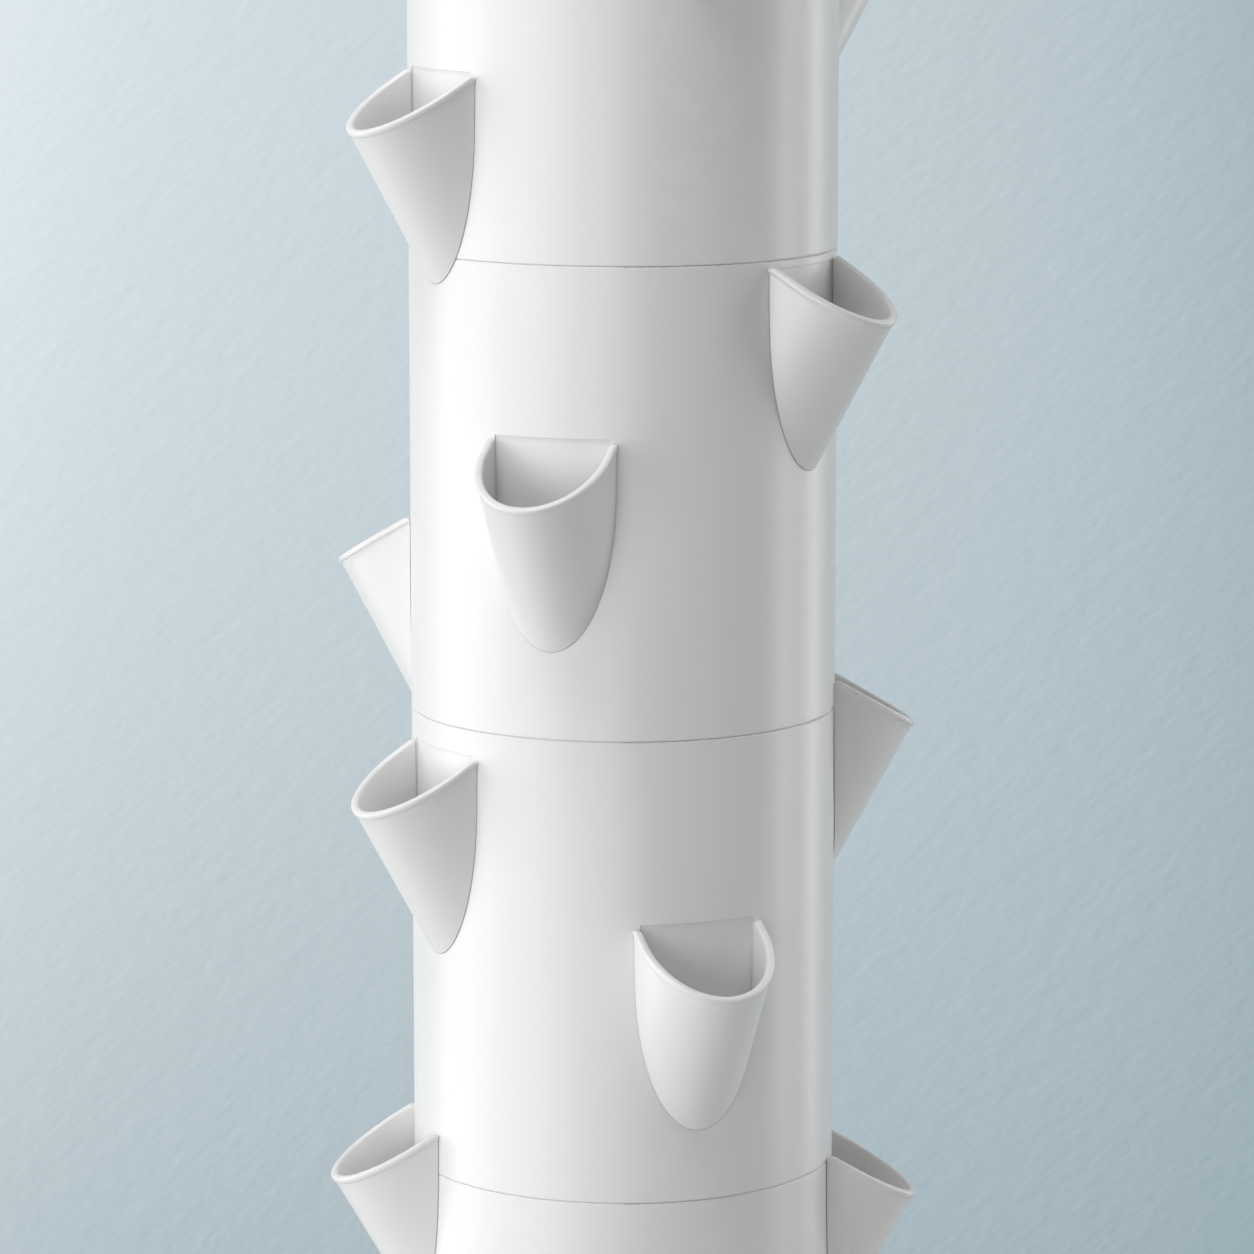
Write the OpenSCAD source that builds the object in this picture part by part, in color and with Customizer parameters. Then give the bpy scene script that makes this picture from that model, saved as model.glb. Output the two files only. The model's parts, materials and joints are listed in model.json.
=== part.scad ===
// Hydroponic tower: a stacked column with clip-in planting pockets on a round reservoir.
// Millimetres, +Z up, origin on the floor under the middle of the column. The front faces -Y.

/* [Column] */
// Outer diameter of the column
tower_d = 200; // [180:1:230]
// Wall of a column section
tower_wall = 3; // [2.4:0.1:4]
// Height of one section from seam to seam
section_h = 217; // [212:1:260]
// Depth of the spigot that goes down into the piece below
spigot_depth = 12; // [8:0.5:14]
// Wall of the spigot
spigot_wall = 2.7; // [2:0.1:4]
// Radial clearance of a spigot in its socket
spigot_gap = 0.3; // [0.2:0.05:0.8]
// Height of the shoulder that joins wall and spigot
shoulder_h = 6; // [4:0.5:9]
// Radius of the rounded upper edge at a seam
seam_edge = 0.9; // [0.4:0.1:1.5]
// Chamfer of the lower edge at a seam
seam_relief = 0.5; // [0.2:0.1:1]

/* [Planting pockets] */
// Outer width of a pocket at its mouth
pocket_w = 61.7; // [58:0.1:66]
// Wall of a pocket
pocket_wall = 3; // [3:0.1:4]
// How far the bead of the rim stands out of the pocket's side
rim_bead = 0.7; // [0.4:0.1:1]
// Height of the bead
bead_h = 3.6; // [3:0.2:5]
// Lean of a pocket out of the vertical, degrees
pocket_lean = 28.6; // [26:0.2:32]
// Draft of a pocket's side, degrees
pocket_draft = 1; // [0.5:0.25:3]
// Distance from the column's wall to the middle of the mouth's ellipse
pocket_reach = 6.1; // [5:0.1:9]
// Depth of the mouth's half ellipse for half its width
pocket_bulge = 1.32; // [1.2:0.01:1.4]
// Slope of the rim, downwards and outwards, degrees
rim_slope = 30.3; // [28:0.1:34]
// Depth of the seat in the wall behind a pocket's mouth
seat_depth = 0.5; // [0.3:0.1:0.8]
// Gap between a pocket's edge and the column's wall
pocket_gap = 0.3; // [0.2:0.05:0.5]
// Depth of the root window's upper edge below the pocket's tips
window_drop = 38; // [37:0.5:41]
// Height of the root window
window_h = 33; // [30:0.5:36]
// Clearance of the pocket's collar in the root window
window_gap = 0.3; // [0.2:0.05:0.5]
// Wall of the collar that goes through the root window
collar_wall = 2; // [1.5:0.1:3]
// Step from the pocket's outside in to its collar
collar_step = 2.4; // [2:0.1:2.6]
// Height of the hook that catches behind the wall
hook_h = 1.2; // [0.6:0.1:1.6]
// Thickness of the hook and its collar end
hook_t = 2; // [1.5:0.1:3]

/* [Top cap and distributor] */
// Height of the cap above the top seam
cap_h = 18; // [16:1:30]
// Thickness of the cap's top
cap_wall = 3; // [2:0.1:4]
// Radius of the cap's upper edge
cap_edge = 6; // [3:0.5:8]
// Diameter of the cap's knob
knob_d = 46; // [36:1:60]
// Height of the knob above the cap
knob_h = 15; // [12:1:24]
// Diameter of the distributor dish
dish_d = 172; // [150:1:178]
// Depth of the dish
dish_h = 11; // [8:0.5:16]
// Wall of the dish
dish_wall = 2.5; // [2:0.1:4]
// Number of drip holes
drip_n = 24; // [12:1:36]
// Diameter of a drip hole
drip_d = 4; // [2:0.5:6]

/* [Riser] */
// Outer diameter of the riser pipe
pipe_d = 20; // [16:1:25]
// Wall of the riser pipe
pipe_wall = 2; // [1.5:0.1:3]
// Clearance of a pipe in its socket, on the radius
pipe_fit = 0.05; // [0.02:0.01:0.1]
// Depth of a pipe in a socket
pipe_seat = 22; // [16:1:28]
// Wall of the sockets that take the pipe
socket_wall = 3; // [2:0.1:4]
// Height of the riser's coupler above the floor
coupler_z = 615; // [590:1:640]
// Height of a riser guide
guide_h = 10; // [8:0.5:11]
// Thickness of a riser guide's arms and ring
guide_wall = 2.5; // [2:0.1:4]
// Running clearance of a guide in the spigot's bore
guide_gap = 0.5; // [0.4:0.05:1]

/* [Reservoir] */
// Outer diameter of the tub at its rim
tub_d = 380; // [360:1:420]
// Height of the tub
tub_h = 230; // [210:1:260]
// Wall of the tub
tub_wall = 3.5; // [2.5:0.1:5]
// Thickness of the tub's floor
floor_t = 4; // [3:0.1:6]
// Draft of the tub's side, degrees
tub_draft = 3; // [1:0.25:4]
// Radius of the tub's lower edge
tub_edge = 16; // [10:1:20]
// Width of the flange round the tub's rim
flange_w = 10; // [8:0.5:14]
// Thickness of the flange
flange_t = 4; // [3:0.1:6]
// Height of the lip that hangs from the flange
lip_h = 14; // [10:1:20]
// Diameter of a rubber foot
foot_d = 34; // [24:1:44]
// Height of a rubber foot
foot_h = 6; // [4:0.5:10]
// Number of feet in the outer ring
foot_n = 6; // [4:1:8]
// Thickness of the lid's seal
seal_t = 3; // [2:0.25:4]

/* [Lid] */
// Height of the lid's deck above the tub's rim
deck_h = 16; // [14:0.5:24]
// Wall of the lid
lid_wall = 3.5; // [3:0.1:5]
// Height of the collar above the deck
collar_h = 38; // [30:1:60]
// Clearance between the lid's skirt and the tub's flange
lid_gap = 1; // [0.6:0.1:2]
// Depth of the ribs under the deck
rib_h = 7; // [4:0.5:9]
// Number of ribs under the deck
rib_n = 12; // [12:12:24]
// Bore of the filler neck
filler_d = 50; // [40:1:54]
// Height of the filler neck above the deck
neck_h = 8; // [6:0.5:12]
// Place of the filler across the deck, 0 at the column and 1 at the edge
filler_pos = 0.585; // [0.57:0.005:0.6]
// Thickness of the filler's flap
flap_t = 3; // [2:0.1:4]
// Diameter of the flap's hinge pin
hinge_pin_d = 4; // [3:0.5:5]
// Running clearance of the hinge pin, on the radius
hinge_fit = 0.08; // [0.03:0.01:0.1]
// Bore of the cable grommet
cable_d = 9; // [8:0.5:11]
// Place of the grommet across the deck, 0 at the column and 1 at the edge
grommet_pos = 0.73; // [0.5:0.01:0.75]

/* [Float gauge] */
// Diameter of the float
float_d = 30; // [24:1:34]
// Height of the float
float_h = 42; // [30:1:50]
// Diameter of the gauge's stem
stem_d = 5; // [4:0.5:7]
// Running clearance of the stem, on the radius
stem_fit = 0.1; // [0.05:0.01:0.1]
// Place of the gauge across the deck, 0 at the column and 1 at the edge
gauge_pos = 0.6; // [0.4:0.01:0.62]
// Clearance of the empty float over the tub's floor
float_rest = 8; // [4:1:20]

/* [Drain tap] */
// Height of the tap's axis above the floor
tap_z = 54; // [50:1:64]
// Diameter of the threaded tail through the tub's wall
tail_d = 20; // [16:1:24]
// Clearance of the tail in the wall, on the radius
tail_gap = 0.4; // [0.3:0.05:0.8]
// Diameter of the valve's barrel
barrel_d = 26; // [22:1:30]
// Length of the barrel
barrel_l = 44; // [40:1:60]
// Outer diameter of the hose spout
spout_d = 14; // [10:0.5:16]
// Bore of the tap
spout_bore = 9; // [6:0.5:10]
// Length of the hose spout below the barrel
spout_l = 24; // [18:1:28]
// Length of the tap's lever from its axis
lever_l = 42; // [30:1:60]

/* [Pump] */
// Length of the pump's housing
pump_l = 84; // [70:1:110]
// Width of the pump's housing
pump_w = 56; // [46:1:70]
// Height of the pump's housing
pump_h = 58; // [46:1:70]
// Corner radius of the pump's housing
pump_edge = 10; // [6:1:14]
// Depth of the strainer cover
strainer_l = 16; // [12:1:24]
// Height of a suction foot
cup_h = 8; // [6:0.5:12]

/* [Hidden] */
$fn = 96;
eps = 0.01;
section_names = ["1", "2", "3", "4"];
section_n = len(section_names);
pocket_letters = ["a", "b", "c", "d"];

// Where the pockets stand on each section, the lowest section first: the angle from the front,
// counter-clockwise seen from above, and the depth of the pocket's tips below the section's top
places = [
    [[-78, -21], [2, 78], [93, -4], [183, 88]],
    [[-60, 12], [20.7, 85.5], [101, -14], [205, 98]],
    [[-108, 127], [-19.4, 78.4], [59.2, 1], [150, 52]],
    [[-59.6, 132], [22, -1], [112, 47], [210, 88]]
];

white = [0.93, 0.94, 0.94];
grey = [0.55, 0.57, 0.58];
dark = [0.16, 0.17, 0.18];
green = [0.25, 0.6, 0.35];

// Column
tower_r = tower_d / 2;
bore_r = tower_r - tower_wall;
spigot_r = bore_r - spigot_gap;
throat_r = spigot_r - spigot_wall;
lead_in = 1;

// Heights
rim_z = foot_h + tub_h;
deck_z = rim_z + deck_h;
column_z = deck_z + collar_h;
top_z = column_z + section_n * section_h;

// Pockets, in a frame with its origin on the column's axis at the height of the pocket's tips
mouth_r = pocket_w / 2;
tip_y = sqrt(pow(tower_r, 2) - pow(mouth_r, 2));
mouth_y = tower_r + pocket_reach;
mouth_z = -(mouth_y - tip_y) * tan(rim_slope);
collar_foot = window_drop + window_h - window_gap;
scoop_down = 110;
scoop_up = 45;
scoop_back = 45;
seat_margin = 4;

// Riser
pipe_r = pipe_d / 2;
socket_r = pipe_r + socket_wall;
dish_drop = 22;
dish_z = top_z - dish_drop;
pump_z = foot_h + floor_t + cup_h;
pump_top = pump_z + pump_h;

// Reservoir
foot_inset = 4;
tub_r = tub_d / 2;
flange_r = tub_r + flange_w;
skirt_r = flange_r + lid_gap + lid_wall;

// Lid: its spigot in the tub, the edge of its deck, and what stands on the deck
lid_in_r = tub_r - tub_wall - lid_gap;
deck_r = lid_in_r - lid_wall;
deck_w = deck_r - tower_r;
filler_x = tower_r + deck_w * filler_pos;
gauge_x = -(tower_r + deck_w * gauge_pos);
grommet_y = tower_r + deck_w * grommet_pos;

// Filler and its hinge, on the column's side of the neck
neck_r = filler_d / 2 + lid_wall;
skirt_gap = 0.6;
skirt_t = 2.8;
skirt_h = 4;
flap_r = neck_r + skirt_gap + skirt_t;
knuckle_r = hinge_pin_d / 2 + 2;
hinge_x = filler_x - flap_r - knuckle_r;
hinge_z = deck_z + neck_h + flap_t / 2;
ear_r = knuckle_r + 0.5;
ear_y = 15;
ear_t = 4;
tab_l = 8;
tab_w = 18;

// Gauge and grommet
bush_r = stem_d / 2 + 4;
bush_h = 6;
bush_flange = 3;
grommet_r = cable_d / 2 + 3;
grommet_lip = 4;
grommet_t = 3;
float_z = foot_h + floor_t + float_rest;
knob_z = deck_z + bush_flange;
gauge_knob_r = 6;
gauge_knob_h = 8;

// Tap, along -Y
tap_face = 6;
boss_y = -(tub_r - (rim_z - tap_z) * tan(tub_draft) + tap_face);
washer_t = 2;
tap_flange_t = 4;
tap_flange_r = tail_d * 0.85;
nut_h = 8;
barrel_y = boss_y - washer_t - tap_flange_t;
spindle_d = 10;
spindle_fit = 0.08;
spindle_y = barrel_y - barrel_l * 0.4;
bonnet_h = 4;
spout_y = barrel_y - barrel_l + spout_d / 2 + 4;
spout_foot = tap_z - barrel_d / 2 - spout_l;
shoulder_t = 3;
lever_t = 6;
lever_z = tap_z + barrel_d / 2 + bonnet_h + 0.5;
screw_r = 2;

function section_z(i) = column_z + i * section_h;

module ring(outer, inner, z0, z1) {
    difference() {
        translate([0, 0, z0]) cylinder(h = z1 - z0, r = outer);
        translate([0, 0, z0 - 1]) cylinder(h = z1 - z0 + 2, r = inner);
    }
}

// Shape of a wall that ends in a spigot below; the wall's top is left to the caller
module spigot_profile() {
    polygon([
        [throat_r, -spigot_depth],
        [spigot_r - lead_in, -spigot_depth],
        [spigot_r, -spigot_depth + lead_in],
        [spigot_r, 0],
        [tower_r - seam_relief, 0],
        [tower_r, seam_relief],
        [tower_r, shoulder_h],
        [bore_r, shoulder_h + bore_r - throat_r],
        [throat_r, shoulder_h]
    ]);
}

// Upright wall from z0 to z1, with a rounded outer edge and a chamfered mouth for a spigot
module socket_profile(z0, z1) {
    polygon([
        [bore_r, z0],
        [tower_r, z0],
        [tower_r, z1 - seam_edge],
        [tower_r - seam_edge, z1 - seam_edge],
        [tower_r - seam_edge, z1],
        [bore_r + lead_in, z1],
        [bore_r, z1 - lead_in]
    ]);
    translate([tower_r - seam_edge, z1 - seam_edge]) circle(r = seam_edge);
}

// One section of the column, with a root window behind each of its pockets
module section(i) {
    color(white) translate([0, 0, section_z(i)]) difference() {
        rotate_extrude() {
            spigot_profile();
            socket_profile(shoulder_h - eps, section_h);
        }
        for (place = places[i])
            translate([0, 0, section_h - place[1]]) rotate([0, 0, place[0]]) {
                root_window();
                pocket_seat(max(0, seat_margin - place[1]));
            }
    }
}

// Leaning scoop: half an elliptical cone in front, and flat flanks that run back from it to the
// column. The inset makes it smaller all round.
module scoop(inset) {
    taper = tan(pocket_draft);
    r_low = mouth_r - inset - scoop_down * taper;
    r_high = mouth_r - inset + scoop_up * taper;
    bulge = (mouth_r * pocket_bulge - inset) / (mouth_r - inset);
    translate([0, -mouth_y, mouth_z]) rotate([pocket_lean, 0, 0]) {
        translate([0, 0, -scoop_down]) scale([1, bulge, 1])
            cylinder(h = scoop_down + scoop_up, r1 = r_low, r2 = r_high);
        rotate([90, 0, 0]) translate([0, 0, -scoop_back]) linear_extrude(scoop_back)
            polygon([[-r_low, -scoop_down], [r_low, -scoop_down], [r_high, scoop_up], [-r_high, scoop_up]]);
    }
}

// Block across the pocket between two heights below its tips
module pocket_band(drop0, drop1) {
    translate([-tower_r, -2 * tower_r, -drop1]) cube([2 * tower_r, 2 * tower_r, drop1 - drop0]);
}

module root_window() {
    intersection() {
        scoop(collar_step - window_gap);
        pocket_band(window_drop, window_drop + window_h);
    }
}

// Shallow seat in the wall behind a mouth, from a height below the pocket's tips to the window
module pocket_seat(drop) {
    difference() {
        intersection() {
            scoop(pocket_wall);
            pocket_band(drop, window_drop + 1);
        }
        translate([0, 0, -tower_r]) cylinder(h = 2 * tower_r, r = tower_r - seat_depth);
    }
}

// Collar through the root window: open above, with a floor below and a hook behind the wall
module pocket_collar() {
    back_r = bore_r - pocket_gap;
    end_r = back_r - hook_t;
    top = window_drop + window_gap;
    foot = collar_foot;
    difference() {
        union() {
            intersection() {
                scoop(collar_step);
                pocket_band(top, foot);
            }
            intersection() {
                scoop(collar_step - hook_h);
                pocket_band(top, foot + hook_h);
                translate([0, 0, -tower_r]) cylinder(h = 2 * tower_r, r = back_r);
            }
        }
        intersection() {
            scoop(collar_step + collar_wall);
            pocket_band(top - 1, foot - collar_wall);
        }
        translate([0, 0, -tower_r]) cylinder(h = 2 * tower_r, r = end_r);
    }
}

module pocket_shell() {
    difference() {
        union() {
            scoop(0);
            intersection() {
                scoop(-rim_bead);
                translate([0, -mouth_y, mouth_z]) rotate([rim_slope, 0, 0])
                    translate([-tower_r, -tower_r, -bead_h]) cube([2 * tower_r, 2 * tower_r, 2 * bead_h]);
            }
        }
        difference() {
            scoop(pocket_wall);
            pocket_band(collar_foot - collar_wall, collar_foot);
        }
        translate([0, 0, -2 * tower_r]) cylinder(h = 4 * tower_r, r = tower_r + pocket_gap);
        translate([0, -mouth_y, mouth_z]) rotate([rim_slope, 0, 0])
            translate([-tower_r, -tower_r, 0]) cube([2 * tower_r, 2 * tower_r, tower_r]);
    }
}

// One clip-in pocket on section i
module pocket(i, j) {
    place = places[i][j];
    color(white) translate([0, 0, section_z(i + 1) - place[1]]) rotate([0, 0, place[0]]) {
        pocket_shell();
        intersection() {
            pocket_collar();
            translate([0, -tower_r, 0]) cube([pocket_w, 2 * pocket_w, 4 * pocket_w], center = true);
        }
    }
}

// Low round knob with a waist for the fingers and a dished top
module knob_profile() {
    r = knob_d / 2;
    edge = 2;
    waist = knob_h * 0.36;
    dish = 2;
    dish_r = (pow(r, 2) + pow(dish, 2)) / (2 * dish);
    difference() {
        union() {
            translate([0, -eps]) square([r - edge, knob_h + eps]);
            translate([0, -eps]) square([r, knob_h - edge + eps]);
            translate([r - edge, knob_h - edge]) circle(r = edge);
        }
        translate([r + 1, knob_h * 0.42]) circle(r = waist);
        translate([0, knob_h - dish + dish_r]) circle(r = dish_r);
    }
}

// Lift-off cap
module top_cap() {
    color(white) translate([0, 0, top_z]) rotate_extrude() {
        spigot_profile();
        polygon([
            [bore_r, shoulder_h - eps],
            [tower_r, shoulder_h - eps],
            [tower_r, cap_h - cap_edge],
            [tower_r - cap_edge, cap_h - cap_edge],
            [tower_r - cap_edge, cap_h],
            [0, cap_h],
            [0, cap_h - cap_wall],
            [bore_r - cap_edge, cap_h - cap_wall],
            [bore_r, cap_h - cap_wall - cap_edge / 2]
        ]);
        translate([tower_r - cap_edge, cap_h - cap_edge]) circle(r = cap_edge);
        translate([0, cap_h]) knob_profile();
    }
}

// Dish on the head of the riser, with drip holes near its edge and a spray hub
module distributor() {
    dish_r = dish_d / 2;
    color(white) translate([0, 0, dish_z]) difference() {
        rotate_extrude() {
            polygon([
                [pipe_r - pipe_wall, 0],
                [dish_r - dish_wall, 0],
                [dish_r, dish_wall],
                [dish_r, dish_h],
                [dish_r - dish_wall, dish_h],
                [dish_r - dish_wall, dish_wall],
                [socket_r, dish_wall],
                [socket_r - socket_wall / 2, dish_h],
                [pipe_r - pipe_wall, dish_h]
            ]);
            translate([pipe_r + pipe_fit, -pipe_seat])
                square([socket_r - pipe_r - pipe_fit, pipe_seat + eps]);
        }
        for (k = [0:drip_n - 1])
            rotate([0, 0, k * 360 / drip_n]) translate([dish_r - 2 * drip_d, 0, -1])
                cylinder(h = dish_h, d = drip_d);
        for (k = [0:2])
            rotate([0, 0, k * 60]) translate([-socket_r - 1, -pipe_wall, dish_h / 2])
                cube([2 * socket_r + 2, 2 * pipe_wall, dish_h]);
    }
}

module riser_pipe(z0, z1) {
    color(white) ring(pipe_r, pipe_r - pipe_wall, z0, z1);
}

module riser_lower() {
    riser_pipe(pump_top + 1, coupler_z);
}

module riser_upper() {
    riser_pipe(coupler_z + pipe_wall, dish_z);
}

// Sleeve with a stop ring between the two pipe ends
module riser_coupler() {
    color(white) {
        ring(socket_r, pipe_r + pipe_fit, coupler_z - pipe_seat, coupler_z + pipe_wall + pipe_seat);
        ring(socket_r - 1, pipe_r - pipe_wall, coupler_z, coupler_z + pipe_wall);
    }
}

// Three-armed ring that keeps the riser in the middle of a spigot's bore
module riser_guide(i) {
    rim_r = throat_r - guide_gap;
    z0 = section_z(i) - spigot_depth;
    color(grey) {
        ring(rim_r, rim_r - guide_wall, z0, z0 + guide_h);
        ring(socket_r, pipe_r + pipe_fit, z0, z0 + guide_h + socket_wall);
        for (k = [0:2])
            rotate([0, 0, k * 120 + 30]) translate([socket_r - 1, -guide_wall / 2, z0])
                cube([rim_r - guide_wall - socket_r + 2, guide_wall, guide_h]);
    }
}

// Tub with a drafted side, a flange with a hanging lip, and a flat seat for the tap inside and out
module tub() {
    foot_r = tub_r - tub_h * tan(tub_draft);
    in_r = tub_r - tub_wall;
    in_foot_r = foot_r - tub_wall + floor_t * tan(tub_draft);
    in_edge = tub_edge - tub_wall;
    color(white) difference() {
        union() {
            translate([0, 0, foot_h]) rotate_extrude() {
                polygon([
                    [0, 0],
                    [foot_r - tub_edge, 0],
                    [foot_r + tub_edge * tan(tub_draft), tub_edge],
                    [tub_r, tub_h - flange_t],
                    [flange_r, tub_h - flange_t],
                    [flange_r, tub_h],
                    [in_r, tub_h],
                    [in_foot_r + in_edge * tan(tub_draft), floor_t + in_edge],
                    [in_foot_r - in_edge, floor_t],
                    [0, floor_t]
                ]);
                translate([flange_r - tub_wall, tub_h - lip_h]) square([tub_wall, lip_h - 1]);
            }
            translate([0, boss_y, tap_z]) rotate([-90, 0, 0]) cylinder(h = 3 * tap_face, r = tail_d);
        }
        translate([0, boss_y - 1, tap_z]) rotate([-90, 0, 0])
            cylinder(h = 5 * tap_face, r = tail_d / 2 + tail_gap);
    }
}

module feet() {
    ring_r = tub_r - tub_h * tan(tub_draft) - tub_edge - foot_d / 2 - foot_inset;
    color(dark) {
        cylinder(h = foot_h, d = foot_d);
        for (k = [0:foot_n - 1])
            rotate([0, 0, (k + 0.5) * 360 / foot_n]) translate([ring_r, 0, 0])
                cylinder(h = foot_h, d = foot_d);
    }
}

// Lid with the collar for the column, ribs under the deck, and seats for filler, gauge and grommet
module lid() {
    under = rim_z + seal_t;
    deck_under = deck_z - lid_wall;
    rib_t = 3;
    color(white) difference() {
        union() {
            rotate_extrude() {
                socket_profile(deck_under - rib_h, column_z);
                polygon([
                    [bore_r + eps, deck_under],
                    [deck_r, deck_under],
                    [deck_r, rim_z - lip_h / 2],
                    [lid_in_r, rim_z - lip_h / 2],
                    [lid_in_r, under],
                    [flange_r + lid_gap, under],
                    [flange_r + lid_gap, rim_z - lip_h],
                    [skirt_r, rim_z - lip_h],
                    [skirt_r, under],
                    [skirt_r - lid_wall, under + lid_wall],
                    [tub_r, under + lid_wall],
                    [deck_r, deck_z],
                    [bore_r + eps, deck_z]
                ]);
            }
            for (k = [0:rib_n - 1])
                rotate([0, 0, (k + 0.5) * 360 / rib_n])
                    translate([tower_r - 1, -rib_t / 2, deck_under - rib_h])
                        cube([deck_w + 2, rib_t, rib_h + 1]);
            translate([filler_x, 0, deck_under]) cylinder(h = lid_wall + neck_h, r = neck_r);
            for (side = [-1, 1]) translate([hinge_x, side * ear_y, 0]) hinge_ear();
        }
        translate([filler_x, 0, rim_z]) cylinder(h = 2 * deck_h + neck_h, d = filler_d);
        translate([gauge_x, 0, rim_z]) cylinder(h = 2 * deck_h, r = bush_r);
        translate([0, grommet_y, rim_z]) cylinder(h = 2 * deck_h, r = grommet_r);
        translate([hinge_x, 2 * ear_y, hinge_z]) rotate([90, 0, 0])
            cylinder(h = 4 * ear_y, d = hinge_pin_d);
    }
}

module hinge_ear() {
    translate([0, ear_t / 2, hinge_z]) rotate([90, 0, 0]) cylinder(h = ear_t, r = ear_r);
    translate([-ear_r, -ear_t / 2, deck_z - 1]) cube([2 * ear_r, ear_t, hinge_z - deck_z + 1]);
}

module lid_seal() {
    color(dark) ring(flange_r - 1, tub_r - tub_wall + 1, rim_z, rim_z + seal_t);
}

module cable_grommet() {
    under = deck_z - lid_wall;
    color(dark) translate([0, grommet_y, 0]) rotate_extrude() polygon([
        [cable_d / 2, under - grommet_t],
        [grommet_r + grommet_lip, under - grommet_t],
        [grommet_r + grommet_lip, under],
        [grommet_r, under],
        [grommet_r, deck_z],
        [grommet_r + grommet_lip, deck_z],
        [grommet_r + grommet_lip - 1, deck_z + grommet_t],
        [cable_d / 2, deck_z + grommet_t + 1]
    ]);
}

// Round flap over the filler neck, with its skirt, its thumb tab and its hinge knuckle.
// The skirt is open beside the hinge, so that it clears the neck as the flap swings.
module filler_flap() {
    knuckle_l = 2 * ear_y - ear_t - 1;
    color(white) difference() {
        union() {
            translate([filler_x, 0, deck_z + neck_h]) {
                cylinder(h = flap_t, r = flap_r);
                difference() {
                    ring(flap_r, neck_r + skirt_gap, -skirt_h, flap_t / 2);
                    translate([-2 * flap_r, -flap_r, -2 * skirt_h])
                        cube([2 * flap_r, 2 * flap_r, 2 * skirt_h]);
                }
                translate([flap_r - tab_l / 2, -tab_w / 2, 0]) cube([tab_l * 1.5, tab_w, flap_t]);
            }
            translate([hinge_x, knuckle_l / 2, hinge_z]) rotate([90, 0, 0])
                cylinder(h = knuckle_l, r = knuckle_r);
            translate([hinge_x, -knuckle_l / 2, hinge_z - flap_t / 2])
                cube([flap_r, knuckle_l, flap_t]);
        }
        translate([hinge_x, knuckle_l, hinge_z]) rotate([90, 0, 0])
            cylinder(h = 2 * knuckle_l, r = hinge_pin_d / 2 + hinge_fit);
    }
}

module flap_pin() {
    color(grey) translate([hinge_x, ear_y + ear_t / 2 + 1, hinge_z]) rotate([90, 0, 0])
        cylinder(h = 2 * ear_y + ear_t + 2, d = hinge_pin_d);
}

module gauge_bush() {
    color(dark) translate([gauge_x, 0, 0]) {
        ring(bush_r, stem_d / 2 + stem_fit, deck_z - lid_wall - bush_h, deck_z);
        ring(bush_r + bush_flange, stem_d / 2 + stem_fit, deck_z, deck_z + bush_flange);
    }
}

module float() {
    r = float_d / 2;
    edge = 3;
    color(green) translate([gauge_x, 0, float_z]) rotate_extrude()
        polygon([
            [stem_d / 2, 0],
            [r - edge, 0],
            [r, edge],
            [r, float_h - edge],
            [r - edge, float_h],
            [stem_d / 2, float_h]
        ]);
}

module float_stem() {
    color(grey) translate([gauge_x, 0, float_z])
        cylinder(h = knob_z + gauge_knob_h - float_z, d = stem_d);
}

// Knob on the stem's head: a short drum with a round top
module float_knob() {
    color(green) translate([gauge_x, 0, knob_z]) rotate_extrude() {
        translate([stem_d / 2, 0]) square([gauge_knob_r - stem_d / 2, gauge_knob_h]);
        intersection() {
            translate([0, gauge_knob_h]) circle(r = gauge_knob_r);
            translate([0, gauge_knob_h - eps]) square([gauge_knob_r, gauge_knob_r + 1]);
        }
    }
}

// Drain tap: tail, flange, barrel, and a hose spout below a shoulder
module tap_body() {
    tail_l = washer_t + tap_flange_t + 3 * tap_face + nut_h + 6;
    color(grey) difference() {
        union() {
            translate([0, barrel_y, tap_z]) rotate([-90, 0, 0]) cylinder(h = tail_l, d = tail_d);
            translate([0, barrel_y, tap_z]) rotate([-90, 0, 0])
                cylinder(h = tap_flange_t, r = tap_flange_r);
            translate([0, barrel_y, tap_z]) rotate([90, 0, 0]) cylinder(h = barrel_l, d = barrel_d);
            translate([0, spindle_y, tap_z]) cylinder(h = barrel_d / 2 + bonnet_h, d = barrel_d * 0.7);
            translate([0, spout_y, spout_foot]) cylinder(h = spout_l + barrel_d / 2, d = spout_d);
            translate([0, spout_y, tap_z - barrel_d / 2 - shoulder_t])
                cylinder(h = shoulder_t + barrel_d / 2, r = spout_d / 2 + shoulder_t);
        }
        translate([0, spout_y, tap_z]) rotate([-90, 0, 0])
            cylinder(h = 2 * barrel_l + tail_l, d = spout_bore);
        translate([0, spout_y, spout_foot - barrel_d / 2]) cylinder(h = barrel_d + spout_l, d = spout_bore);
        translate([0, spindle_y, tap_z - spout_bore / 2])
            cylinder(h = barrel_d, r = spindle_d / 2 + spindle_fit);
    }
}

module tap_washer() {
    color(dark) translate([0, boss_y - washer_t, tap_z]) rotate([-90, 0, 0])
        ring(tail_d * 0.8, tail_d / 2 + tail_gap, 0, washer_t);
}

module tap_nut() {
    color(grey) translate([0, boss_y + 3 * tap_face, tap_z]) rotate([-90, 0, 0]) difference() {
        cylinder(h = nut_h, r = tap_flange_r, $fn = 6);
        translate([0, 0, -1]) cylinder(h = nut_h + 2, r = tail_d / 2 + pipe_fit);
    }
}

module tap_spindle() {
    foot_z = tap_z - spout_bore / 2 + 0.5;
    color(grey) translate([0, spindle_y, foot_z]) cylinder(h = lever_z - foot_z, d = spindle_d);
}

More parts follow.
